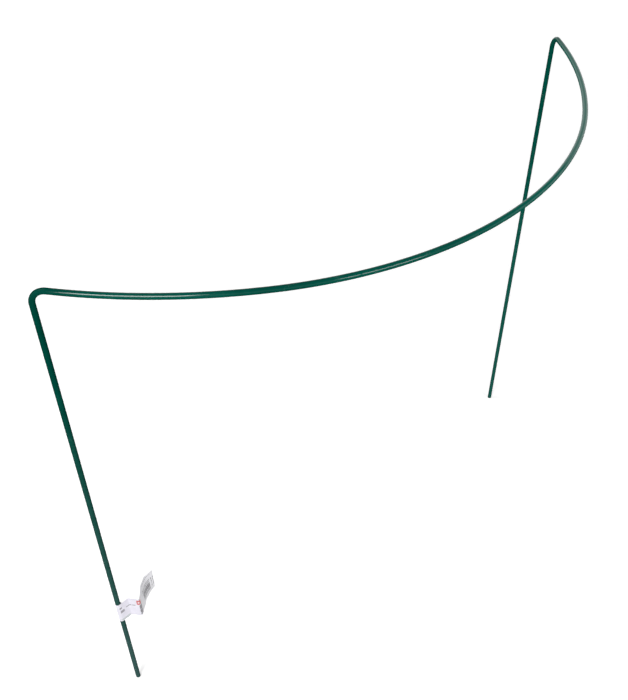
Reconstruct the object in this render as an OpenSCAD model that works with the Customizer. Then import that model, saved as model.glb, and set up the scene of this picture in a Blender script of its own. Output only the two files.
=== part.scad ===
// Bow stake that holds leaning plants: one coated wire with two legs and a level bow between their tops.
// A printed label is folded round the lower part of one leg and stuck to itself.
// The origin is on the ground, midway between the feet. X runs from the labelled leg to the plain leg,
// the bow reaches out towards -Y, and Z is up. All sizes are in millimetres and all angles in degrees.

/* [Wire] */
// Diameter of the bare steel wire
wire_d = 4.5; // [3:0.1:8]
// Thickness of the plastic coat around the wire
coat_t = 0.5; // [0.3:0.05:1.5]
// Thickness of the coat over the cut end of each foot
foot_cover = 0.8; // [0.4:0.1:3]
// Radius that rounds the rim of each coated foot
foot_round = 0.8; // [0.2:0.1:1.4]

/* [Bow and legs] */
// Distance between the centres of the two legs
leg_spacing = 690; // [450:5:950]
// Height from the feet to the top of the bow
stake_h = 600; // [350:5:1000]
// Distance from the legs to the middle of the bow, in plan, at the wire's centre
bow_depth = 194; // [140:1:240]
// Angle in plan between the bow and the line through the legs, where the bow leaves a leg
bow_end_angle = 53.5; // [46:0.5:65]
// How far each flatter flank of the bow turns before the rounder middle starts
flank_turn = 20; // [5:0.5:22]
// Inside radius of the bend at the top of each leg
bend_inner_r = 12; // [4:0.5:30]

/* [Label] */
// Width of the label strip, measured along the leg
label_w = 32; // [15:1:80]
// Height of the label's lower edge above the feet
label_z = 128.5; // [20:0.5:250]
// Thickness of the label's paper
paper_t = 0.12; // [0.08:0.01:0.3]
// Thickness of the adhesive under the paper
glue_t = 0.06; // [0.04:0.01:0.15]
// Direction in which the label leaves the leg, turned from +X
label_heading = 2; // [-60:1:60]
// Angle at which the back layer closes on the front layer beside the leg
pinch_angle = 65; // [30:1:80]
// Radius of the bend where the back layer meets the front layer
pinch_r = 1; // [0.5:0.1:4]
// Length of the stuck layers between the loop round the leg and the soft ridge
band_near = 5; // [2:0.1:30]
// Radius of the soft ridge
ridge_r = 3; // [1:0.1:10]
// How far the soft ridge turns the strip back
ridge_turn = 55; // [10:0.5:100]
// Length of the stuck layers between the soft ridge and the crease
band_far = 11; // [4:0.1:30]
// How far the sharp crease turns the flag against the band
crease_turn = 97; // [40:0.5:115]
// Gap that is left free on each side of the crease line
crease_gap = 0.05; // [0.02:0.01:0.3]
// Length of the flat part of the flag
flag_flat = 16; // [5:0.5:40]
// Radius of the flag's curled part
flag_curl_r = 42; // [15:1:150]
// How far the flag's curled part turns
flag_curl_turn = 33; // [5:1:60]

/* [Hidden] */
$fn = 180;

// Rounds to six digits, as sizes are written on a drawing, so that neighbouring runs share their end faces
function six(x) = let (step = x == 0 ? 1 : pow(10, floor(log(abs(x))) - 5)) round(x / step) * step;

// Wire and coat
core_r = wire_d / 2;
coat_r = core_r + coat_t;
bend_r = bend_inner_r + coat_r;
leg_top = stake_h - coat_r - bend_r;
leg_x = leg_spacing / 2;

// The bow is a three-centred arch in plan. Its half width and depth, less the reach of the bend at the leg,
// give two equations for the radius of the rounder middle and the radius of the flatter flanks.
mid_half = bow_end_angle - flank_turn;
arch_half = leg_x - bend_r * cos(bow_end_angle);
arch_depth = bow_depth - bend_r * sin(bow_end_angle);
flank_wide = sin(bow_end_angle) - sin(mid_half);
flank_deep = cos(mid_half) - cos(bow_end_angle);
mid_wide = sin(mid_half);
mid_deep = 1 - cos(mid_half);
arch_det = mid_wide * flank_deep - flank_wide * mid_deep;
mid_r = six((arch_half * flank_deep - flank_wide * arch_depth) / arch_det);
flank_r = six((mid_wide * arch_depth - mid_deep * arch_half) / arch_det);

// Half of the wire is drawn a little past the middle of the bow and cut off there
overrun = 1;
half_space = 2 * (leg_spacing + stake_h + bow_depth);

// The label's layers are drawn a little too wide and trimmed, so that they share one flat edge
trim = 1;
drawn_w = label_w + 2 * trim;

// The label in its own plan frame: +X along the strip as it leaves the leg, and the bond between its layers
// at y = 0. The front layer lies at negative y, and the leg's axis at axis_off.
wrap_r = coat_r + glue_t;
half_glue = glue_t / 2;
layer_out = half_glue + paper_t;
axis_off = wrap_r - half_glue;
wrap_sweep = 180 + pinch_angle;
loop_drop = axis_off + wrap_r * cos(pinch_angle) - pinch_r * (1 - cos(pinch_angle)) - half_glue;
loop_len = loop_drop / sin(pinch_angle);
meet_x = (wrap_r + pinch_r) * sin(pinch_angle) + loop_len * cos(pinch_angle);

// Runs of the strip: the length of a straight run or the radius of a curved one, then its turn to the left
bond_runs = [[meet_x + band_near, 0], [ridge_r, -ridge_turn], [band_far - crease_gap, 0]];
back_runs = [[loop_len, 0], [pinch_r, pinch_angle], [band_near, 0],
    [ridge_r + half_glue, -ridge_turn], [band_far - crease_gap, 0]];
flag_runs = [[flag_flat - crease_gap, 0], [flag_curl_r, -flag_curl_turn]];

function rest_of(runs) = [for (i = [1:1:len(runs) - 1]) runs[i]];

// Moves its children in two steps, a rounded one and the remainder, so that no digit is lost
module place(v) {
    rounded = [for (x = v) six(x)];
    translate(rounded) translate(v - rounded) children();
}

// Turns its children about Z in two steps, for the same reason
module turn(angle) {
    rounded = atan2(six(sin(angle)), six(cos(angle)));
    rotate(angle) rotate(angle - rounded) children();
}

// Moves its children to the end of one run
module after_run(run) {
    size = six(run[0]);
    angle = run[1];
    if (angle == 0)
        translate([size, 0, 0]) children();
    else
        place([size * sin(abs(angle)), sign(angle) * size * (1 - cos(angle)), 0])
            turn(angle) children();
}

// Moves its children to the end of a chain of runs
module after_runs(runs) {
    if (len(runs) == 0)
        children();
    else
        after_run(runs[0]) after_runs(rest_of(runs)) children();
}

// Trims its children to the label's width
module trimmed() {
    intersection() {
        children();
        translate([-half_space, -half_space, 0]) cube([2 * half_space, 2 * half_space, label_w]);
    }
}

// An upright layer on an arc about the Z axis
module curved_layer(inner, outer, start, angle) {
    rotate_extrude(start = start, angle = angle)
        translate([inner, -trim]) square([outer - inner, drawn_w]);
}

// One run of a layer that lies between the offsets low and high to the left of its chain
module layer_run(run, low, high) {
    size = six(run[0]);
    angle = run[1];
    if (angle == 0)
        translate([0, low, -trim]) cube([size, high - low, drawn_w]);
    else if (angle > 0)
        translate([0, size, 0]) curved_layer(size - high, size - low, -90, angle);
    else
        translate([0, -size, 0]) curved_layer(size + low, size + high, 90 + angle, -angle);
}

// A layer that follows a whole chain of runs
module layer(runs, low, high) {
    if (len(runs) > 0) {
        layer_run(runs[0], low, high);
        after_run(runs[0]) layer(rest_of(runs), low, high);
    }
}

// A shell round the leg, from the back layer's last contact to the front layer's first
module leg_wrap(inner, outer) {
    translate([0, axis_off, 0]) curved_layer(inner, outer, 90 - pinch_angle, wrap_sweep);
}

// Places the label's frame on the labelled leg
module on_leg() {
    translate([-leg_x, 0, label_z]) rotate(label_heading) translate([0, -axis_off, 0]) children();
}

// Places the flag's frame at the far side of the crease, which turns about the inside face of the fold
module at_crease() {
    on_leg() after_runs(bond_runs) translate([crease_gap, layer_out, 0])
        rotate(crease_turn) translate([crease_gap, -layer_out, 0]) children();
}

// A round bar of radius r on the half bow of one leg, in the leg's frame with +X along the end of the bow:
// the bend, the flank and the middle, which runs past the half
module half_bow(r) {
    translate([bend_r, 0, 0]) rotate([90, 0, 0])
        rotate_extrude(start = 90, angle = 90) translate([bend_r, 0]) circle(r);
    translate([bend_r, 0, bend_r]) {
        translate([0, flank_r, 0])
            rotate_extrude(start = -90, angle = flank_turn) translate([flank_r, 0]) circle(r);
        place([(flank_r - mid_r) * sin(flank_turn), flank_r - (flank_r - mid_r) * cos(flank_turn), 0])
            rotate_extrude(start = flank_turn - 90, angle = mid_half + overrun)
            translate([mid_r, 0]) circle(r);
    }
}

// Half section of a coated leg, with the rim of its foot rounded
module leg_section() {
    square([coat_r - foot_round, leg_top]);
    translate([0, foot_round]) square([coat_r, leg_top - foot_round]);
    translate([coat_r - foot_round, foot_round]) circle(foot_round);
}

// Half of the bare wire, cut square at its foot
module half_wire() {
    translate([0, 0, foot_cover]) cylinder(h = leg_top - foot_cover, r = core_r);
    translate([0, 0, leg_top]) half_bow(core_r);
}

// Half of the coated wire's outside
module half_coated() {
    rotate_extrude() leg_section();
    translate([0, 0, leg_top]) half_bow(coat_r);
}

// Places a half at the labelled leg, cuts it at the middle of the bow and mirrors it to the plain leg
module both_halves() {
    for (side = [0, 1]) mirror([side, 0, 0]) intersection() {
        translate([-leg_x, 0, 0]) rotate(-bow_end_angle) children();
        translate([-half_space, -half_space, -half_space])
            cube([half_space, 2 * half_space, 2 * half_space]);
    }
}

module steel_core() {
    color("silver") both_halves() half_wire();
}

module plastic_coating() {
    color([0.01, 0.31, 0.27]) both_halves() difference() {
        half_coated();
        half_wire();
    }
}

module label_band() {
    color([0.93, 0.92, 0.95]) on_leg() trimmed() {
        layer(bond_runs, -layer_out, -half_glue);
        leg_wrap(wrap_r, wrap_r + paper_t);
        translate([0, axis_off, 0]) turn(-pinch_angle) translate([0, wrap_r, 0])
            layer(back_runs, 0, paper_t);
    }
}

module label_flag_front() {
    color([0.88, 0.88, 0.9]) at_crease() trimmed() layer(flag_runs, -layer_out, -half_glue);
}

module label_flag_back() {
    color([0.88, 0.88, 0.9]) at_crease() trimmed() layer(flag_runs, half_glue, layer_out);
}

module band_adhesive() {
    color([0.9, 0.87, 0.75]) on_leg() trimmed() {
        leg_wrap(coat_r, wrap_r);
        layer(bond_runs, -half_glue, half_glue);
    }
}

module flag_adhesive() {
    color([0.9, 0.87, 0.75]) at_crease() trimmed() layer(flag_runs, -half_glue, half_glue);
}

steel_core();
plastic_coating();
label_band();
label_flag_front();
label_flag_back();
band_adhesive();
flag_adhesive();
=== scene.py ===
# %% [markdown]
# A plant support stake: one green coated wire, bent into a level bow between two legs that stand in the soil,
# with a paper label folded round a leg.
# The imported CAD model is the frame. It says where each piece is and how it moves, in metres.
# Blender adds what the eye sees: a rounder coat, a real paper strip, print, gloss and light.

# %% Load the frame
import math

import bpy
from mathutils import Matrix, Vector


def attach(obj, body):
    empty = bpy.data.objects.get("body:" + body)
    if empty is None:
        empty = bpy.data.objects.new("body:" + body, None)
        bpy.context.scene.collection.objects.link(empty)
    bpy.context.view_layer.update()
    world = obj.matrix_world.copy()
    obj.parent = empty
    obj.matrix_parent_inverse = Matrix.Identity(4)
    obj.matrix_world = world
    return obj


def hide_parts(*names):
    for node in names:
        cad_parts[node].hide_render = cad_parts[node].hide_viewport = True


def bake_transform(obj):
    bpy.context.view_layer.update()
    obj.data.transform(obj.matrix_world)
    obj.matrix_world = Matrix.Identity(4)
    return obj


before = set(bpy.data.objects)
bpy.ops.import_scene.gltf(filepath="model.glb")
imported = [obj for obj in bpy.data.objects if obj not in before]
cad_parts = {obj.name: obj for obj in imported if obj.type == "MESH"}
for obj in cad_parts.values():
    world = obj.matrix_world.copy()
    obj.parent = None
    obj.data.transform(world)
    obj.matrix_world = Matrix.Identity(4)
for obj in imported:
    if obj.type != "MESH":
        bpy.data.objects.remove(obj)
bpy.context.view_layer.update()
mm = 0.001
print("CAD nodes:", ", ".join(sorted(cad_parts)))

# %% [markdown]
# The wire is one line in space: up a leg, round a tight bend, along the bow, round the other bend and down.
# It could be a curve object with a bevel, but then nothing in the coat could change along its length.
# So the line is walked here in steps, as straight runs and arcs, with a heading and a side that turn together.
# The sizes repeat those of the CAD source, and the two radii of the bow follow from its width and its depth.

# %% The sizes of the wire
leg_x = 345 * mm
stake_height = 600 * mm
bow_depth = 194 * mm
bow_end_angle = math.radians(53.5)
flank_turn = math.radians(20)
middle_turn = bow_end_angle - flank_turn
coat_radius = 2.75 * mm
core_radius = 2.25 * mm
bend_radius = 14.75 * mm
bow_height = stake_height - coat_radius
leg_length = bow_height - bend_radius


def bow_radii():
    """Radius of the rounder middle of the bow and of its two flatter flanks."""
    half_width = leg_x - bend_radius * math.cos(bow_end_angle)
    depth = bow_depth - bend_radius * math.sin(bow_end_angle)
    flank_wide = math.sin(bow_end_angle) - math.sin(middle_turn)
    flank_deep = math.cos(middle_turn) - math.cos(bow_end_angle)
    middle_wide = math.sin(middle_turn)
    middle_deep = 1 - math.cos(middle_turn)
    both = middle_wide * flank_deep - flank_wide * middle_deep
    middle = (half_width * flank_deep - flank_wide * depth) / both
    flank = (middle_wide * depth - middle_deep * half_width) / both
    return middle, flank


middle_radius, flank_radius = bow_radii()
print(f"bow radii: middle {middle_radius:.4f} m, flanks {flank_radius:.4f} m")

# %% Walk along the wire
up = Vector((0, 0, 1))
bow_start = Vector((math.cos(bow_end_angle), -math.sin(bow_end_angle), 0))
bow_finish = Vector((math.cos(bow_end_angle), math.sin(bow_end_angle), 0))
straight_step = 3 * mm
bow_step = math.radians(0.35)
bend_step = math.radians(3)
# Each run is a length, or a radius with its axis, its turn and the size of its steps
wire_runs = [
    (leg_length, None, 0, 0),
    (bend_radius, up.cross(bow_start), math.pi / 2, bend_step),
    (flank_radius, up, flank_turn, bow_step),
    (middle_radius, up, 2 * middle_turn, bow_step),
    (flank_radius, up, flank_turn, bow_step),
    (bend_radius, bow_finish.cross(-up), math.pi / 2, bend_step),
    (leg_length, None, 0, 0),
]


def walk_wire():
    """Stations along the wire: place, heading, side, distance from the labelled foot and tightness of the bend."""
    place, heading, side = Vector((-leg_x, 0, 0)), up.copy(), bow_start.copy()
    stations, distance = [(place.copy(), heading.copy(), side.copy(), 0.0, 0.0)], 0.0
    for size, axis, turn, step in wire_runs:
        length = size if axis is None else size * turn
        count = math.ceil(length / straight_step) if axis is None else math.ceil(turn / step)
        start_place, start_heading, start_side = place.copy(), heading.copy(), side.copy()
        for i in range(1, count + 1):
            part = i / count
            if axis is None:
                place = start_place + start_heading * (length * part)
                tight = 0.0
            else:
                spin = Matrix.Rotation(turn * part, 3, axis)
                inward = axis.cross(start_heading) * size
                place = start_place + inward - spin @ inward
                heading, side = spin @ start_heading, spin @ start_side
                tight = math.sin(math.pi * part) if size == bend_radius else 0.0
            stations.append((place.copy(), heading.copy(), side.copy(), distance + length * part, tight))
        distance += length
    return stations


wire_stations = walk_wire()
wire_length = wire_stations[-1][3]
wire_end = tuple(round(x, 4) for x in wire_stations[-1][0])
print(f"wire: {len(wire_stations)} stations, {wire_length:.3f} m, ends at {wire_end}")

# %% [markdown]
# The coat is a plastic sleeve, pressed round the wire as it ran through a die, so it swells and thins by some
# hundredths of a millimetre, flattens a little in the bends and ends in a rounded cap at each foot.
# A ring of points at each station makes it, and the rings close up at the feet. A second set of rings, facing
# inwards, is the bore that the steel fills, so the coat is a real sleeve with a wall.
# Each point keeps the place it had before the wire was bent, in an attribute. The finish is drawn in that
# straight wire, and so its streaks follow the bends.

# %% The shape of the coat
ring_sides = 40
bore_sides = 24
foot_round = 0.8 * mm
foot_cover = 0.8 * mm
cap_steps = 6
cap_shares = (0.35, 0.7, 1.0)
swell = 0.02 * mm
bend_flattening = 0.02
bore_gap = 0.01 * mm
# Waves of the swell, in radians for each metre of the wire
long_wave, drift_wave = 148, 61
short_wave, wander_wave, twist_wave = 395, 97, 40


def coat_swell(distance, angle):
    """How far the coat stays under its full radius there, as extruded plastic does."""
    slow = math.sin(distance * long_wave + 1.3) * math.sin(distance * drift_wave + 0.4)
    wander = 2 * math.sin(distance * wander_wave)
    quick = math.sin(distance * short_wave + wander) * math.cos(angle + distance * twist_wave)
    return swell * (0.5 + 0.3 * slow + 0.2 * quick)


def foot_rings():
    """Depth and radius of the rings that close a foot, from its middle to the full coat."""
    flat = coat_radius - foot_round
    rings = [(0.0, flat * share) for share in cap_shares]
    for i in range(1, cap_steps + 1):
        a = math.pi / 2 * i / cap_steps
        rings.append((foot_round * (1 - math.cos(a)), flat + foot_round * math.sin(a)))
    return rings


def ring(place, heading, side, radius_at, distance, sides, tight=0.0):
    """Points round the wire at one station, and the same points on the straight wire."""
    other = heading.cross(side)
    points, straight = [], []
    for k in range(sides):
        a = math.tau * k / sides
        r = radius_at(a)
        x, y = r * math.cos(a) * (1 - bend_flattening * tight), r * math.sin(a)
        points.append(place + side * x + other * y)
        straight.append((x, y, distance))
    return points, straight


print(f"coat: {ring_sides} points round it and {len(foot_rings())} rings at each foot")


# %% The rings of the sleeve
def foot_cap(foot):
    """Rings that close the first or the last end of the wire, in the order of the walk."""
    place, heading, side, distance, _ = wire_stations[foot]
    inwards = 1 if foot == 0 else -1
    rings = []
    for depth, radius in foot_rings()[::inwards]:
        shift = inwards * depth
        rings.append(ring(place + heading * shift, heading, side, lambda a: radius, distance + shift, ring_sides))
    return rings


def coat_rings():
    """All rings of the coat's outside: a foot, the wire between the two rims, and the other foot."""
    rim = foot_round + straight_step / 2
    rings = []
    for *station, at, tight in wire_stations:
        if rim < at < wire_length - rim:
            rings.append(ring(*station, lambda a: coat_radius - coat_swell(at, a), at, ring_sides, tight))
    return foot_cap(0) + rings + foot_cap(-1)


def bore_rings():
    """All rings of the bore, which stops short of each foot by the thickness of its cover."""
    bore_radius = core_radius + bore_gap
    rings = []
    for place, heading, side, distance, _ in wire_stations:
        shift = max(foot_cover - distance, 0) - max(foot_cover - (wire_length - distance), 0)
        at = distance + shift
        rings.append(ring(place + heading * shift, heading, side, lambda a: bore_radius, at, bore_sides))
    return rings


outside, outside_straight = zip(*coat_rings())
bore, bore_straight = zip(*bore_rings())
print(f"coat: {len(outside)} rings outside and {len(bore)} round the bore")


# %% Build the sleeve
def tube(rings, inside):
    """Vertices and faces of a closed tube through its rings, turned inside out for a bore."""
    sides = len(rings[0])
    vertices = [p for r in rings for p in r]
    first, last = len(vertices), len(vertices) + 1
    vertices += [sum(rings[0], Vector()) / sides, sum(rings[-1], Vector()) / sides]
    faces = []
    for i in range(len(rings) - 1):
        for k in range(sides):
            n = (k + 1) % sides
            faces.append((i * sides + k, i * sides + n, (i + 1) * sides + n, (i + 1) * sides + k))
    end = (len(rings) - 1) * sides
    for k in range(sides):
        n = (k + 1) % sides
        faces += [(first, n, k), (last, end + k, end + n)]
    return vertices, [f[::-1] for f in faces] if inside else faces


def on_straight_wire(straight_rings):
    """The straight places of a tube's points: all of its rings, then the middles of its two ends."""
    ends = [(0.0, 0.0, straight_ring[0][2]) for straight_ring in (straight_rings[0], straight_rings[-1])]
    return [p for straight_ring in straight_rings for p in straight_ring] + ends


def make_mesh(name, vertices, faces, unbent):
    """A smooth mesh object whose points remember their place before bending."""
    mesh = bpy.data.meshes.new(name)
    mesh.from_pydata(vertices, [], faces)
    mesh.validate()
    mesh.shade_smooth()
    kept = mesh.attributes.new("unbent", "FLOAT_VECTOR", "POINT")
    kept.data.foreach_set("vector", [x for p in unbent for x in p])
    made = bpy.data.objects.new(name, mesh)
    bpy.context.scene.collection.objects.link(made)
    return made


vertices, faces = tube(outside, inside=False)
unbent = on_straight_wire(outside_straight) + on_straight_wire(bore_straight)
bore_vertices, bore_faces = tube(bore, inside=True)
offset = len(vertices)
faces += [tuple(i + offset for i in f) for f in bore_faces]
vertices += bore_vertices
coat = make_mesh("wire_coat", vertices, faces, unbent)
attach(coat, "stake")
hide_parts("plastic_coating")
print(f"coat: {len(coat.data.vertices)} points, {len(coat.data.polygons)} faces")

# %% [markdown]
# The label is one paper strip, stuck back to back after it went round the leg. Seen from above, it is a line:
# in along the back layer, round the leg, and out again along the front layer, over a soft ridge, round a sharp
# crease and along a flag that curls. Sheets like this could be modelled flat and bent with modifiers, but the
# two layers have to stay a hair apart everywhere. So the bond between them is walked once, in plan, and each
# layer is set off from it to its own side.
# The sizes repeat those of the CAD source, but the loop is pinched tighter round the leg, with a longer run after
# it, and the sharp crease becomes a small soft fold, because thick label paper doesn't take a knife edge.

# %% The sizes of the label
label_width = 32 * mm
label_low = 128.5 * mm
paper_thickness = 0.12 * mm
glue_thickness = 0.06 * mm
label_heading = math.radians(2)
pinch_angle = math.radians(80)
pinch_radius = 0.6 * mm
band_near = 6.2 * mm
ridge_radius = 3 * mm
ridge_turn = math.radians(55)
band_far = 11 * mm
crease_turn = math.radians(97)
flag_flat = 16 * mm
flag_curl_radius = 42 * mm
flag_curl_turn = math.radians(33)
fold_play = 1.6 * mm

layer_middle = (glue_thickness + paper_thickness) / 2
layer_outside = glue_thickness / 2 + paper_thickness
wrap_radius = coat_radius + glue_thickness
leg_offset = wrap_radius - glue_thickness / 2
fold_cut = fold_play * math.tan(crease_turn / 2)
loop_drop = (
    leg_offset
    + wrap_radius * math.cos(pinch_angle)
    - pinch_radius * (1 - math.cos(pinch_angle))
    - glue_thickness / 2
)
loop_length = loop_drop / math.sin(pinch_angle)
meet_x = (wrap_radius + pinch_radius) * math.sin(pinch_angle) + loop_length * math.cos(pinch_angle)

# Length or radius of each run of the bond, its turn to the left and the number of its steps
stuck_runs = [
    (band_near, 0, 10),
    (ridge_radius, -ridge_turn, 14),
    (band_far - fold_cut, 0, 14),
    (layer_outside + fold_play, crease_turn, 14),
    (flag_flat - fold_cut, 0, 20),
    (flag_curl_radius, -flag_curl_turn, 32),
]
print(f"loop: {loop_length / mm:.2f} mm from the leg to the pinch, which is {meet_x / mm:.2f} mm from its middle")


# %% Walk along the strip
def walk_plan(x, y, heading, runs, travelled=0.0):
    """Stations in plan: place, direction to the left, and distance along the walk."""
    stations = [(x, y, heading, travelled)]
    for size, turn, steps in runs:
        length = size * abs(turn) if turn else size
        x0, y0, h0 = x, y, heading
        for i in range(1, steps + 1):
            part = i / steps
            if turn:
                heading = h0 + turn * part
                sign = math.copysign(size, turn)
                x = x0 + sign * (math.sin(heading) - math.sin(h0))
                y = y0 - sign * (math.cos(heading) - math.cos(h0))
            else:
                x, y = x0 + size * part * math.cos(h0), y0 + size * part * math.sin(h0)
            stations.append((x, y, heading, travelled + length * part))
        travelled += length
    return stations


bond = walk_plan(meet_x, 0, 0, stuck_runs, meet_x)
bond_length = bond[-1][3]
crease_at = meet_x + band_near + ridge_radius * ridge_turn + band_far
print(f"bond: {len(bond)} stations, {bond_length / mm:.1f} mm long, creased at {crease_at / mm:.1f} mm")

# %% [markdown]
# Paper that was stuck down by hand is never quite flat. It cockles by a few tenths of a millimetre between the
# leg and its free end, and both layers do so together. The upper part of the flag also leans over by about two
# millimetres, less again at the free end, which is tucked in so that it stays inside the CAD box.
# A texture could fake this, but a small push along the sheet's own direction gives a true outline too.

# %% Cockle of the stuck layers
cockle_height = 0.22 * mm
flag_lean = 2.2 * mm
end_tuck = 0.38 * mm
still_band = 4 * mm
still_share = 0.3
least_cockle = 0.5
settle_length = 4 * mm
lean_start = 19 * mm
lean_end = 12 * mm
lean_curve = 1.5
# Two crossed waves, in radians for each metre along the strip and across it
first_wave = (520, 170, 0.6)
second_wave = (90, 260, 1.1)


def smooth(t):
    t = min(max(t, 0.0), 1.0)
    return t * t * (3 - 2 * t)


def cockle(travelled, across):
    """Push to the left of the bond, still beside the leg and beside the crease."""
    beside_crease = abs(travelled - crease_at) / still_band
    free = smooth((travelled - meet_x) / settle_length) * smooth(beside_crease - still_share)
    wave = 1.0
    for each_along, each_across, start in (first_wave, second_wave):
        wave *= math.sin(travelled * each_along + across * each_across + start)
    flag = smooth((travelled - crease_at) / lean_start)
    lean = flag_lean * smooth((bond_length - travelled) / lean_end) * (across / label_width) ** lean_curve
    return free * (cockle_height * wave * (least_cockle + flag) + flag * (lean - end_tuck))


def at_bond(station, offset, across):
    """Place in the label's plan of a point beside the bond, with its cockle."""
    x, y, heading, travelled = station
    left = offset + cockle(travelled, across)
    return x - left * math.sin(heading), y + left * math.cos(heading)


print(f"cockle: {cockle(crease_at + lean_start, label_width) / mm:.2f} mm at the top of the flag")

# %% The line of the paper and the line of the adhesive
wrap_steps = 44
lead_steps = 6
loop_steps, pinch_steps = 5, 8


def round_leg(radius):
    """Places on the leg from the back layer's last contact to the front layer's first, with the way outwards."""
    sweep = math.pi + pinch_angle
    for i in range(wrap_steps + 1):
        a = math.pi / 2 - pinch_angle + sweep * i / wrap_steps
        yield radius * math.cos(a), leg_offset + radius * math.sin(a), a - math.pi / 2


def fixed(x, y, heading, offset):
    """A station that keeps its plan place, at that offset to the left."""
    return lambda across, o: (x - (offset + o) * math.sin(heading), y + (offset + o) * math.cos(heading))


def beside(station, offset, way):
    """A station that follows the bond and its cockle, with outwards to the left or, for way -1, to the right."""
    return lambda across, o: at_bond(station, offset + way * o, across)


def front_layer(offset):
    """Stations of a front layer at that offset: from the leg to the meeting point, then along the bond."""
    leads = [meet_x * i / lead_steps for i in range(1, lead_steps)]
    return [beside((x, 0, 0, x), offset, -1) for x in leads] + [beside(s, offset, -1) for s in bond]


def paper_line():
    """The strip's stations, from the back end to the front end, and the one where the front leaves the leg.
    Each is a function of the place across and the height over the middle of the sheet, outwards positive."""
    line = [beside(s, layer_middle, 1) for s in reversed(bond)]
    turned = math.pi / 2 - pinch_angle
    start_x, start_y = wrap_radius * math.cos(turned), leg_offset + wrap_radius * math.sin(turned)
    loop_runs = [(loop_length, 0, loop_steps), (pinch_radius, pinch_angle, pinch_steps)]
    loop = walk_plan(start_x, start_y, -pinch_angle, loop_runs)
    line += [fixed(x, y, h, paper_thickness / 2) for x, y, h, _ in reversed(loop[1:-1])]
    line += [fixed(x, y, h, paper_thickness / 2) for x, y, h in round_leg(wrap_radius)]
    return line + front_layer(-layer_middle), len(line) - 1


def glue_line():
    """The adhesive's stations: round the leg, then between the layers."""
    line = [fixed(x, y, h, 0) for x, y, h in round_leg(coat_radius + glue_thickness / 2)]
    return line + front_layer(0), len(line) - 1


print(f"stations: {len(paper_line()[0])} of the paper, {len(glue_line()[0])} of the adhesive")


# %% Turn a line into a strip
paper_rows, glue_rows = 36, 18
glue_inset = 0.12 * mm
glue_share = 0.96
sharp_angle = math.radians(60)


def on_leg(x, y, z):
    """From the label's plan to the frame."""
    c, s = math.cos(label_heading), math.sin(label_heading)
    y -= leg_offset
    return Vector((c * x - s * y - leg_x, s * x + c * y, label_low + z))


def make_strip(name, line, front, thickness, inset, rows):
    """A closed strip of that thickness. Its flat place is the distance along it from where the front leaves the
    leg, the height above its lower edge, and 1 on its outer or 0 on its inner face."""
    heights = [inset + (label_width - 2 * inset) * j / rows for j in range(rows + 1)]
    middle = [line_at(label_width / 2, 0) for line_at in line]
    run = [0.0]
    for a, b in zip(middle, middle[1:]):
        run.append(run[-1] + math.hypot(b[0] - a[0], b[1] - a[1]))
    vertices, flat = [], []
    for face, o in ((1, thickness / 2), (0, -thickness / 2)):
        for line_at, distance in zip(line, run):
            for z in heights:
                vertices.append(on_leg(*line_at(z, o), z))
                flat.append((distance - run[front], z, face))
    n, m = len(line), rows + 1
    faces = []
    for i in range(n - 1):
        for j in range(rows):
            a = i * m + j
            faces.append((a, a + m, a + m + 1, a + 1))
            faces.append(tuple(k + n * m for k in (a, a + 1, a + m + 1, a + m)))
    rim = [i * m for i in range(n)] + [(n - 1) * m + j for j in range(1, m)]
    rim += [i * m + rows for i in range(n - 2, -1, -1)] + [j for j in range(rows - 1, 0, -1)]
    for a, b in zip(rim, rim[1:] + rim[:1]):
        faces.append((b, a, a + n * m, b + n * m))
    made = make_mesh(name, vertices, faces, flat)
    made.data.set_sharp_from_angle(angle=sharp_angle)
    size = f"{run[-1] / mm:.1f} mm by {(label_width - 2 * inset) / mm:.1f} mm"
    print(f"{name}: {size}, {len(made.data.polygons)} faces")
    return made


paper = make_strip("label_paper", *paper_line(), paper_thickness, 0, paper_rows)
glue = make_strip("label_adhesive", *glue_line(), glue_thickness * glue_share, glue_inset, glue_rows)

# %% [markdown]
# The flag turns about the crease, which is one hinge of the frame. The strip crosses it, so it can't ride on
# one body. Here it is only set in place at rest, and the CAD nodes that it replaces are hidden.

# %% Set the strip in place and hide the CAD nodes it replaces
for piece, slot, nodes in (
    (paper, "paper", ("label_band", "label_flag_front", "label_flag_back")),
    (glue, "adhesive", ("band_adhesive", "flag_adhesive")),
):
    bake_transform(piece)
    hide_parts(*nodes)

# %% [markdown]
# Every finish below is built from nodes, with no pictures. A few small helpers keep the cells short: they add a
# node, fill its inputs with values or with links, and start a material around its Principled shader.


# %% Helpers for nodes
def fill(tree, socket, value):
    """Sets a socket to a value, or links another socket to it."""
    if isinstance(value, bpy.types.NodeSocket):
        tree.links.new(value, socket)
    else:
        socket.default_value = value


def add(tree, kind, *inputs, **settings):
    """A node of that kind, with its first inputs filled in turn."""
    made = tree.nodes.new("ShaderNode" + kind)
    for name, value in settings.items():
        setattr(made, name, value)
    for socket, value in zip(made.inputs, inputs):
        fill(tree, socket, value)
    return made


def maths(tree, operation, *inputs):
    return add(tree, "Math", *inputs, operation=operation).outputs[0]


def times(tree, first, second):
    return maths(tree, "MULTIPLY", first, second)


def distance_from(tree, value, place):
    """How far a value lies from a place, on either side of it."""
    return maths(tree, "ABSOLUTE", maths(tree, "SUBTRACT", value, place))


def in_cells(tree, place, size):
    """A place measured in cells of that size."""
    return add(tree, "VectorMath", place, size, operation="DIVIDE").outputs[0]


def between(tree, value, low, high, to_low=0.0, to_high=1.0):
    """Maps a value from one range to another and holds it there."""
    return add(tree, "MapRange", value, low, high, to_low, to_high).outputs[0]


def noise(tree, place, detail, roughness=0.5):
    made = tree.nodes.new("ShaderNodeTexNoise")
    for name, value in (("Vector", place), ("Scale", 1.0), ("Detail", detail), ("Roughness", roughness)):
        fill(tree, made.inputs[name], value)
    return made.outputs[0]


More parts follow.
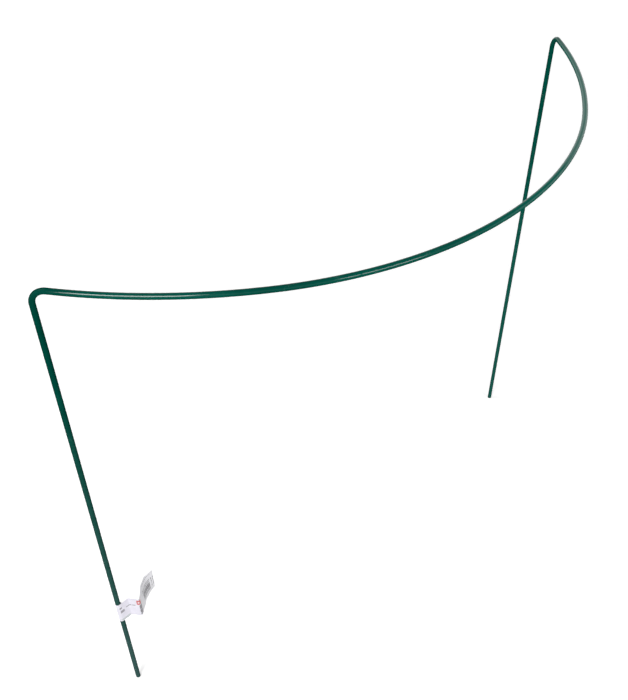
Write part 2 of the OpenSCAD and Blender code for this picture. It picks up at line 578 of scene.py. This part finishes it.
def blend_colours(tree, factor, first, second):
    made = tree.nodes.new("ShaderNodeMix")
    made.data_type = "RGBA"
    for name, value in (("Factor_Float", factor), ("A_Color", first), ("B_Color", second)):
        fill(tree, next(s for s in made.inputs if s.identifier == name), value)
    return next(s for s in made.outputs if s.identifier == "Result_Color")


def bump(tree, height, strength, distance):
    made = tree.nodes.new("ShaderNodeBump")
    for name, value in (("Height", height), ("Strength", strength), ("Distance", distance)):
        fill(tree, made.inputs[name], value)
    return made.outputs[0]


print("node helpers ready")


# %% Helpers for groups and materials
def new_group(name, inputs, outputs):
    """An empty shader group with named sockets: the group, what it takes and what it gives."""
    group = bpy.data.node_groups.new(name, "ShaderNodeTree")
    for label, kind in inputs:
        group.interface.new_socket(label, in_out="INPUT", socket_type="NodeSocket" + kind)
    for label, kind in outputs:
        group.interface.new_socket(label, in_out="OUTPUT", socket_type="NodeSocket" + kind)
    return group, group.nodes.new("NodeGroupInput").outputs, group.nodes.new("NodeGroupOutput").inputs


def use_group(tree, group, **inputs):
    """Places a group in a tree, fills its named inputs and returns its outputs."""
    made = tree.nodes.new("ShaderNodeGroup")
    made.node_tree = group
    for name, value in inputs.items():
        fill(tree, made.inputs[name.replace("_", " ")], value)
    return made.outputs


def new_material(name, **values):
    """A material with its tree and its Principled shader, whose plain values are set on its own sockets."""
    material = bpy.data.materials.new(name)
    material.use_nodes = True
    shader = material.node_tree.nodes["Principled BSDF"]
    for label, value in values.items():
        shader.inputs[label.replace("_", " ")].default_value = value
    return material, material.node_tree, shader


def before_bending(tree):
    """The place that each point had on the straight wire or on the flat strip."""
    return add(tree, "Attribute", attribute_name="unbent").outputs["Vector"]


def dress(thing, material):
    thing.data.materials.clear()
    thing.data.materials.append(material)
    print(f"{thing.name} wears {material.name}, {len(material.node_tree.nodes)} nodes")


print("group and material helpers ready")

# %% [markdown]
# Three effects come back in several finishes, so each is a node group that is built once.
# Cloudy tint drifts between two colours, as pigment, pulp and glue do. Drawn streaks are the long fine lines
# that a die leaves on wire and on plastic. Rubbed marks are the sparse pale scratches of handling.
# Each takes a place on the surface and gives only a mask, a colour or a height, and the material decides.

# %% Cloudy tint
cloudy_tint, taken, given = new_group(
    "Cloudy tint",
    [("Place", "Vector"), ("Size", "Float"), ("Dark", "Color"), ("Light", "Color")],
    [("Colour", "Color"), ("Mask", "Float")],
)
cloud_range = (0.3, 0.7)
cell = in_cells(cloudy_tint, taken["Place"], taken["Size"])
cloud = between(cloudy_tint, noise(cloudy_tint, cell, detail=4.0, roughness=0.55), *cloud_range)
fill(cloudy_tint, given["Mask"], cloud)
fill(cloudy_tint, given["Colour"], blend_colours(cloudy_tint, cloud, taken["Dark"], taken["Light"]))
print("group:", cloudy_tint.name)

# %% Drawn streaks
drawn_streaks, taken, given = new_group(
    "Drawn streaks",
    [("Place", "Vector"), ("Size", "Float"), ("Stretch", "Float")],
    [("Height", "Float"), ("Mask", "Float")],
)
streak_heights, streak_edge = (0.3, 0.7), (0.52, 0.68)
parts = add(drawn_streaks, "SeparateXYZ", taken["Place"]).outputs
slow = maths(drawn_streaks, "DIVIDE", parts[2], taken["Stretch"])
squeezed = add(drawn_streaks, "CombineXYZ", parts[0], parts[1], slow).outputs[0]
cell = in_cells(drawn_streaks, squeezed, taken["Size"])
lines = noise(drawn_streaks, cell, detail=2.0, roughness=0.6)
fill(drawn_streaks, given["Height"], lines)
fill(drawn_streaks, given["Mask"], between(drawn_streaks, lines, *streak_edge))
print("group:", drawn_streaks.name)

# %% Rubbed marks
rubbed_marks, taken, given = new_group(
    "Rubbed marks",
    [("Place", "Vector"), ("Size", "Float"), ("Patch", "Float")],
    [("Mask", "Float")],
)
mark_width, patch_edge = 0.03, (0.52, 0.66)
cell = in_cells(rubbed_marks, taken["Place"], taken["Size"])
crossing = distance_from(rubbed_marks, noise(rubbed_marks, cell, detail=2.0), 0.5)
thin = between(rubbed_marks, crossing, 0.0, mark_width, 1.0, 0.0)
patch_cell = in_cells(rubbed_marks, taken["Place"], taken["Patch"])
patches = between(rubbed_marks, noise(rubbed_marks, patch_cell, detail=2.0), *patch_edge)
fill(rubbed_marks, given["Mask"], times(rubbed_marks, thin, patches))
print("group:", rubbed_marks.name)

# %% [markdown]
# The coat is dark green soft plastic. Along the wire its colour is darker below the labelled bend and lighter low
# on the other leg, and painted light from above lightens the bow, most of all towards its far end. The die has
# left long faint streaks, and near the feet it is greyer from handling and dust. Where the wire was bent, it is a
# trace paler, from stretched plastic and a painted highlight.
# The gloss is a clear skin, the coat layer of the shader. It lies on top of the bow, a little worn in the middle
# and broken by one small nick, and it is all but rubbed off underneath and on the legs, which go through soil.
# Places along the wire are in metres from the labelled foot.

# %% The coat's colours and patterns
dark_green, light_green = (0.0, 0.05, 0.034, 1), (0.0, 0.067, 0.047, 1)
painted_light_green, deep_green = (0.002, 0.12, 0.088, 1), (0.0, 0.03, 0.018, 1)
stretch_and_highlight_green, streak_green = (0.03, 0.16, 0.13, 1), (0.0, 0.03, 0.022, 1)
mark_green, dusty_green = (0.09, 0.19, 0.16, 1), (0.064, 0.118, 0.117, 1)
coat_green, tree, shader = new_material("coat green", Specular_IOR_Level=0.0, Coat_Roughness=0.08, Coat_IOR=1.6)
straight_wire = before_bending(tree)
downwards, _, along = add(tree, "SeparateXYZ", straight_wire).outputs
tint = use_group(tree, cloudy_tint, Place=straight_wire, Size=0.018, Dark=dark_green, Light=light_green)
streaks = use_group(tree, drawn_streaks, Place=straight_wire, Size=0.00035, Stretch=90.0)
marks = use_group(tree, rubbed_marks, Place=straight_wire, Size=0.006, Patch=0.05)
print("coat: tint, streaks and marks follow the straight wire")

# %% Dust near the feet, and pale bends with a painted highlight
dust_reach = 0.5
dust_fade = 1.3
plain_dust = 0.25
patchy_dust = (0.55, 1)
pale_bend, bend_fade = 0.05, (4 * mm, 20 * mm)
labelled_foot = maths(tree, "POWER", between(tree, along, 0.0, dust_reach, 1.0, 0.0), dust_fade)
plain_foot = between(tree, along, wire_length - dust_reach, wire_length, 0.0, plain_dust)
patchy = between(tree, tint["Mask"], 0, 1, *patchy_dust)
dust = times(tree, maths(tree, "MAXIMUM", labelled_foot, plain_foot), patchy)
bend_middle = leg_length + bend_radius * math.pi / 4
from_middle = distance_from(tree, along, wire_length / 2)
to_bend = distance_from(tree, from_middle, wire_length / 2 - bend_middle)
# The bends are a trace paler: stretched plastic, and a painted highlight where the wire turns.
stretch_and_highlight = between(tree, to_bend, *bend_fade, pale_bend, 0.0)
print(f"coat: dust up to {dust_reach} m from the feet, bends at {bend_middle:.3f} m")

# %% Darker and lighter stretches, with painted light on the bow
# Stretches of the wire over which the colour changes, in the order of the walk
deepening, deep_to_bow, bend_to_bow = (0.4, 0.56), (0.58, 0.64), (0.59, 0.61)
brightening, bow_to_leg, low_leg = (0.88, 1.06), (1.36, 1.42), (1.5, 1.72)
dull_at, around_dull = 0.785, (0.015, 0.05)
dull_share, bow_light_share, leg_share, deep_share = 0.04, 0.3, 0.42, 0.35
# Painted light from above: the bow is lighter, less so about the dull place, and lightest towards its far end; the
# lower part of the other leg is lighter too.
beside_dull = between(tree, distance_from(tree, along, dull_at), *around_dull, dull_share, bow_light_share)
onto_bow = between(tree, along, *bend_to_bow, 0.0, bow_light_share)
bow_painted_light = maths(tree, "MINIMUM", beside_dull, onto_bow)
brighter = maths(tree, "MAXIMUM", between(tree, along, *brightening), bow_painted_light)
up_to_bend = between(tree, along, *bow_to_leg, 1.0, 0.0)
low_on_leg = between(tree, along, *low_leg, 0.0, leg_share)
painted_light_and_lighter_leg = maths(tree, "MINIMUM", brighter, maths(tree, "MAXIMUM", up_to_bend, low_on_leg))
up_the_leg = between(tree, along, *deepening, 0.0, deep_share)
before_bow = between(tree, along, *deep_to_bow, 1.0, 0.0)
darker_below_bend = maths(tree, "MINIMUM", up_the_leg, before_bow)
print(f"coat: dull at {dull_at} m, brightest from {brightening[1]} m to {bow_to_leg[0]} m")

# %% The coat's colour and bump
# Painted light on the bow and its far end, then the darker stretch, then the paler bends with their painted
# highlight.
colour = blend_colours(tree, painted_light_and_lighter_leg, tint["Colour"], painted_light_green)
colour = blend_colours(tree, darker_below_bend, colour, deep_green)
colour = blend_colours(tree, stretch_and_highlight, colour, stretch_and_highlight_green)
for mask, strength, over in (
    (streaks["Mask"], 0.18, streak_green),
    (marks["Mask"], 0.3, mark_green),
    (dust, 0.85, dusty_green),
):
    colour = blend_colours(tree, times(tree, mask, strength), colour, over)
fill(tree, shader.inputs["Base Color"], colour)
plastic_roughness, dust_roughness = (0.3, 0.38), 0.2
smooth_plastic = between(tree, streaks["Height"], *streak_heights, *plastic_roughness)
dulled = times(tree, maths(tree, "ADD", dust, marks["Mask"]), dust_roughness)
fill(tree, shader.inputs["Roughness"], maths(tree, "ADD", smooth_plastic, dulled))
fill(tree, shader.inputs["Normal"], bump(tree, streaks["Height"], strength=0.1, distance=0.005 * mm))
print("coat: coloured, with", len(tree.nodes), "nodes so far")

# %% The clear skin
worn_at, worn_reach, worn_skin = 0.9, (0.05, 0.16), (0.66, 0.78)
nick_at, nick_reach, nick_skin = 0.8495, (0.6 * mm, 1.1 * mm), 0.05
top_edge, under_edge, under_skin = -0.55 * coat_radius, -0.28 * coat_radius, 0.02
leg_skin = 0.05
labelled_end = leg_length + bend_radius * math.pi / 2
plain_end = wire_length - labelled_end
worn = between(tree, distance_from(tree, along, worn_at), *worn_reach, *worn_skin)
from_labelled_end = between(tree, along, labelled_end, labelled_end + 25 * mm, leg_skin, 1.0)
to_plain_end = between(tree, along, plain_end + 8 * mm, plain_end + 22 * mm, 1.0, leg_skin)
on_bow = maths(tree, "MINIMUM", from_labelled_end, to_plain_end)
nick = between(tree, distance_from(tree, along, nick_at), *nick_reach, nick_skin, 1.0)
skin = times(tree, times(tree, worn, on_bow), nick)
on_top = between(tree, downwards, top_edge, under_edge, 1.0, under_skin)
fill(tree, shader.inputs["Coat Weight"], times(tree, skin, on_top))
dress(coat, coat_green)

# %% [markdown]
# Inside the coat is drawn steel wire. It only shows if the coat is taken off, but it is part of the object, so
# its CAD node keeps its shape and gets bright metal with the lines of the drawing die.

# %% The steel's finish
drawn_steel, tree, shader = new_material("drawn steel", Metallic=1.0)
on_object = add(tree, "TexCoord").outputs["Object"]
dark_steel, bright_steel, line_grey = (0.5, 0.51, 0.52, 1), (0.62, 0.63, 0.64, 1), (0.36, 0.36, 0.36, 1)
tint = use_group(tree, cloudy_tint, Place=on_object, Size=0.03, Dark=dark_steel, Light=bright_steel)
streaks = use_group(tree, drawn_streaks, Place=on_object, Size=0.0002, Stretch=150.0)
steel_colour = blend_colours(tree, times(tree, streaks["Mask"], 0.3), tint["Colour"], line_grey)
fill(tree, shader.inputs["Base Color"], steel_colour)
steel_roughness = (0.25, 0.42)
fill(tree, shader.inputs["Roughness"], between(tree, streaks["Height"], *streak_heights, *steel_roughness))
fill(tree, shader.inputs["Normal"], bump(tree, streaks["Height"], strength=0.2, distance=0.01 * mm))
dress(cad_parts["steel_core"], drawn_steel)

# %% [markdown]
# The label's print is drawn on the flat strip, before any fold, with boxes that are measured in millimetres
# along it and up from its lower edge. Only stand-ins are printed: bars, grey lines in place of writing and a
# plain red patch. A printed box is a mask with slightly soft edges, as ink on paper has. Bars are a box cut
# into stripes of uneven width, and words are a box broken into pieces.

# %% Printed boxes
printed_box, taken, given = new_group(
    "Printed box",
    [("Place", "Vector"), ("From", "Float"), ("To", "Float"), ("Low", "Float"), ("High", "Float")],
    [("Mask", "Float")],
)
ink_edge = 0.12
parts = add(printed_box, "SeparateXYZ", taken["Place"]).outputs
inside = None
for value, low, high in ((parts[0], taken["From"], taken["To"]), (parts[1], taken["Low"], taken["High"])):
    for first, second in ((value, low), (high, value)):
        room = maths(printed_box, "SUBTRACT", first, second)
        edge = between(printed_box, room, -ink_edge, ink_edge)
        inside = edge if inside is None else times(printed_box, inside, edge)
fill(printed_box, given["Mask"], inside)
print("group:", printed_box.name)

# %% Bars and words
broken_ink, taken, given = new_group(
    "Broken ink",
    [("Along", "Float"), ("Pitch", "Float"), ("Share", "Float")],
    [("Mask", "Float")],
)
step = maths(broken_ink, "FLOOR", maths(broken_ink, "DIVIDE", taken["Along"], taken["Pitch"]))
chance = broken_ink.nodes.new("ShaderNodeTexWhiteNoise")
chance.noise_dimensions = "1D"
fill(broken_ink, chance.inputs["W"], step)
fill(broken_ink, given["Mask"], maths(broken_ink, "LESS_THAN", chance.outputs["Value"], taken["Share"]))
print("group:", broken_ink.name)

# %% [markdown]
# The paper is a smooth white label stock with a cool cast and faint fibres, and whiter on the flag than on the
# band.
# Both of its faces and its cut edges are the same sheet, but ink lies only on the outer face, so the print is held
# back by the third number of the flat place, which is 1 there.

# %% The paper's finish
label_stock, tree, shader = new_material("printed label paper", Specular_IOR_Level=0.25)
flat_strip = before_bending(tree)
in_mm = add(tree, "VectorMath", flat_strip, (1 / mm, 1 / mm, 1.0), operation="MULTIPLY").outputs[0]
run_mm, height_mm, outer = add(tree, "SeparateXYZ", in_mm).outputs
outer_face = between(tree, outer, 0.6, 0.9)
dark_pulp, light_pulp = (0.76, 0.74, 0.83, 1), (0.83, 0.81, 0.89, 1)
whiter_paper, fibre_grey = (0.94, 0.94, 0.96, 1), (0.6, 0.59, 0.63, 1)
crease_mm = crease_at / mm
pulp = use_group(tree, cloudy_tint, Place=flat_strip, Size=0.007, Dark=dark_pulp, Light=light_pulp)
fibres = use_group(tree, rubbed_marks, Place=flat_strip, Size=0.0012, Patch=0.004)
whiter_flag = between(tree, run_mm, crease_mm - 2, crease_mm + 2, 0.0, 0.75)
paper_colour = blend_colours(tree, whiter_flag, pulp["Colour"], whiter_paper)
paper_colour = blend_colours(tree, times(tree, fibres["Mask"], 0.25), paper_colour, fibre_grey)
print(f"paper: cleaner beyond {crease_mm:.1f} mm, where the flag begins")

# %% The print on the paper
ink_black, ink_grey, ink_pale = (0.05, 0.045, 0.055, 1), (0.2, 0.19, 0.21, 1), (0.45, 0.45, 0.47, 1)
ink_red, edge_grey_green, white_ink_and_highlight = (0.6, 0.06, 0.055, 1), (0.5, 0.55, 0.535, 1), (0.93, 0.93, 0.94, 1)
flag_mm = crease_mm + 1
back_mm = -38.0


def print_ink(colour, ink, strength, run_from, run_to, low, high, break_along=None, pitch=1.0, share=1.0):
    """Prints a box of ink over a colour, broken into bars or words along one of the two directions."""
    mask = use_group(tree, printed_box, Place=in_mm, From=run_from, To=run_to, Low=low, High=high)["Mask"]
    if break_along is not None:
        pieces = use_group(tree, broken_ink, Along=break_along, Pitch=pitch, Share=share)["Mask"]
        mask = times(tree, mask, pieces)
    mask = times(tree, mask, times(tree, outer_face, strength))
    return blend_colours(tree, mask, colour, ink)


# Each print has its ink and strength, its ends along the strip, its lower and upper edge and, where it is broken
# into pieces, the direction, the pitch and the share of ink. All sizes are in millimetres.
# Beside the leg: a line along the middle with a painted highlight under it, two short marks and a grey-green band
# along the lower edge
band_prints = [
    # Painted highlight: a faint white patch under the middle line.
    (white_ink_and_highlight, 0.15, 9.5, 17.5, 14, 18.8),
    (ink_black, 0.8, 7, 18.2, 19, 20.2, run_mm, 0.9, 0.9),
    (ink_grey, 0.85, -1, 1.8, 22.8, 25.6),
    (ink_grey, 0.75, -0.5, 4.4, 15, 19.5),
    (edge_grey_green, 0.75, -2, 10, 0.8, 4.2),
]
# On the flag: a dark strip and a red patch beside the crease, bars, and lines of writing near the end and the top
flag_prints = [
    (ink_black, 0.75, crease_mm - 1.2, crease_mm + 3, 2.5, 20, height_mm, 0.8, 0.85),
    (ink_red, 0.9, crease_mm - 3.6, crease_mm + 2.5, 21.5, 29.5),
    (white_ink_and_highlight, 0.75, crease_mm - 2.2, crease_mm - 0.2, 24, 27),
    (ink_black, 0.75, flag_mm + 14, flag_mm + 32, 6, 22, height_mm, 0.55, 0.5),
    *((ink_grey, 0.7, flag_mm + row, flag_mm + row + 1.1, 6, 22, height_mm, 0.7, 0.7) for row in (34.3, 37.2)),
    (ink_pale, 0.7, flag_mm + 17, flag_mm + 39.5, 28, 29.6, run_mm, 0.8, 0.6),
]
# On the back: grey lines in place of writing
back_prints = [
    (ink_grey, 0.65, back_mm - 36, back_mm - 6, row, row + 1.4, run_mm, 0.9, 0.68) for row in (8, 12, 16, 20, 24)
]
all_prints = band_prints + flag_prints + back_prints
for one_print in all_prints:
    paper_colour = print_ink(paper_colour, *one_print)
print(f"paper: {len(all_prints)} prints, crease {crease_mm:.2f} mm along the strip")

# %% Put the paper together
fill(tree, shader.inputs["Base Color"], paper_colour)
paper_roughness = (0.42, 0.55)
fill(tree, shader.inputs["Roughness"], between(tree, pulp["Mask"], 0, 1, *paper_roughness))
relief = maths(tree, "ADD", times(tree, pulp["Mask"], 0.6), times(tree, fibres["Mask"], 0.4))
fill(tree, shader.inputs["Normal"], bump(tree, relief, strength=0.25, distance=0.02 * mm))
dress(paper, label_stock)

# %% [markdown]
# The adhesive is a thin tacky film, a little yellow. It shows only as a hairline between the two layers of
# paper at the edge of the label.

# %% The adhesive's finish
tacky_film, tree, shader = new_material("tacky adhesive", Specular_IOR_Level=0.4)
flat_strip = before_bending(tree)
film_roughness = (0.25, 0.5)
dark_glue, light_glue = (0.72, 0.68, 0.55, 1), (0.82, 0.8, 0.68, 1)
tint = use_group(tree, cloudy_tint, Place=flat_strip, Size=0.002, Dark=dark_glue, Light=light_glue)
fill(tree, shader.inputs["Base Color"], tint["Colour"])
fill(tree, shader.inputs["Roughness"], between(tree, tint["Mask"], 0, 1, *film_roughness))
fill(tree, shader.inputs["Normal"], bump(tree, tint["Mask"], strength=0.2, distance=0.02 * mm))
dress(glue, tacky_film)

# %% [markdown]
# The photograph is a studio shot on white. A wide pale floor is the background, and it adds light of its own for
# the eye and for reflections only, more with the distance, where the lamps reach it less. So it is white up to
# the horizon and still shows a soft shadow at the feet.

# %% The floor
floor_reach = 14.0
floor_drop = 0.1 * mm
lit_near, lit_far = 0.6, 4.5
light_near, light_far = 0.49, 0.97
floor_grey, pure_white = (0.8, 0.8, 0.8, 1), (1, 1, 1, 1)
floor_mesh = bpy.data.meshes.new("floor")
corners = [(x * floor_reach, y * floor_reach, 0) for x, y in ((-1, -1), (1, -1), (1, 1), (-1, 1))]
floor_mesh.from_pydata(corners, [], [(0, 1, 2, 3)])
floor = bpy.data.objects.new("floor", floor_mesh)
bpy.context.scene.collection.objects.link(floor)
floor.location.z = -floor_drop


def seen_directly(tree):
    """1 where the eye, a reflection or a view through glass looks at the surface, and 0 for the light it gives."""
    path = add(tree, "LightPath").outputs
    seen = maths(tree, "MAXIMUM", path["Is Camera Ray"], path["Is Glossy Ray"])
    return maths(tree, "MAXIMUM", seen, path["Is Transmission Ray"])


pale_floor, tree, shader = new_material("pale floor", Roughness=0.9, Specular_IOR_Level=0.0)
shader.inputs["Base Color"].default_value = floor_grey
shader.inputs["Emission Color"].default_value = pure_white
on_floor = add(tree, "TexCoord").outputs["Object"]
from_object = add(tree, "VectorMath", on_floor, operation="LENGTH").outputs["Value"]
own_light = between(tree, from_object, lit_near, lit_far, light_near, light_far)
fill(tree, shader.inputs["Emission Strength"], times(tree, seen_directly(tree), own_light))
dress(floor, pale_floor)

# %% [markdown]
# The light is plain and soft. The room is dim, but for the eye and for reflections a white sweep rises behind the
# floor and fades out at about 25 degrees. A panel at the left makes the long streak on the bow, and one in front
# makes the short streak in its middle: mirroring the camera's view at those streaks gave their places. A wide weak
# panel at the back pales the far end of the bow, and one at the far left lights the top of the wire, from where it
# makes no streak of its own.

# %% The surround and the panels
surround_light = 0.03
sweep_low, sweep_high = 0.2, 0.42
world = bpy.data.worlds.new("surround")
bpy.context.scene.world = world
world.use_nodes = True
tree = world.node_tree
surround = tree.nodes["Background"]
surround.inputs["Color"].default_value = pure_white
looking = add(tree, "TexCoord").outputs["Generated"]
above_floor = add(tree, "SeparateXYZ", looking).outputs["Z"]
sweep = between(tree, above_floor, sweep_low, sweep_high, 1.0, surround_light)
seen = times(tree, seen_directly(tree), maths(tree, "SUBTRACT", sweep, surround_light))
fill(tree, surround.inputs["Strength"], maths(tree, "ADD", seen, surround_light))


def light_panel(name, at, bearing, rise, distance, width, height, brightness):
    """A soft panel seen from a point of the object at that bearing and rise, in degrees, with its radiance."""
    b, r = math.radians(bearing), math.radians(rise)
    way = Vector((math.cos(r) * math.cos(b), math.cos(r) * math.sin(b), math.sin(r)))
    lamp = bpy.data.lights.new(name, "AREA")
    lamp.shape, lamp.size, lamp.size_y = "RECTANGLE", width, height
    lamp.energy = brightness * math.pi * width * height
    made = bpy.data.objects.new(name, lamp)
    bpy.context.scene.collection.objects.link(made)
    made.location = Vector(at) + way * distance
    made.rotation_euler = way.to_track_quat("Z", "Y").to_euler()
    made.visible_camera = False
    print(f"{name} at {tuple(round(x, 2) for x in made.location)}")


long_streak, short_streak, far_end = (-0.26, -0.08, 0.6), (0.085, -0.18, 0.6), (0.3, -0.02, 0.6)
light_panel(
    "left_panel", long_streak, bearing=-154.5, rise=36, distance=3.9, width=2.07, height=1.8, brightness=10.8
)
light_panel("front_panel", short_streak, bearing=-89, rise=17, distance=4.0, width=1.8, height=1.6, brightness=7.4)
light_panel("back_panel", far_end, bearing=39, rise=25, distance=4.0, width=7.0, height=1.6, brightness=0.6)
light_panel("far_panel", far_end, bearing=138, rise=41, distance=4.0, width=2.2, height=2.2, brightness=3.6)

# %% [markdown]
# The camera stands where a solve on the photograph's own lines puts it: at the left, looking down at about 42
# degrees, with the focal length that the same solve gives.

# %% The camera
camera_place = Vector((-0.5498, -0.53584, 1.0083))
camera_down = math.radians(41.933)
camera_turn = math.radians(43.29)
camera_roll = math.radians(-0.558)
focal_length_px = 874.8
photo_height_px = 700
sensor = 36.0
lens = bpy.data.cameras.new("camera")
lens.sensor_width = sensor
lens.lens = focal_length_px / photo_height_px * sensor
camera = bpy.data.objects.new("camera", lens)
bpy.context.scene.collection.objects.link(camera)
aim = Matrix.Rotation(-camera_turn, 4, "Z") @ Matrix.Rotation(math.pi / 2 - camera_down, 4, "X")
camera.matrix_world = Matrix.Translation(camera_place) @ aim @ Matrix.Rotation(camera_roll, 4, "Z")
bpy.context.scene.camera = camera
bpy.context.scene.view_settings.view_transform = "Standard"
print(f"lens {lens.lens:.2f} mm")
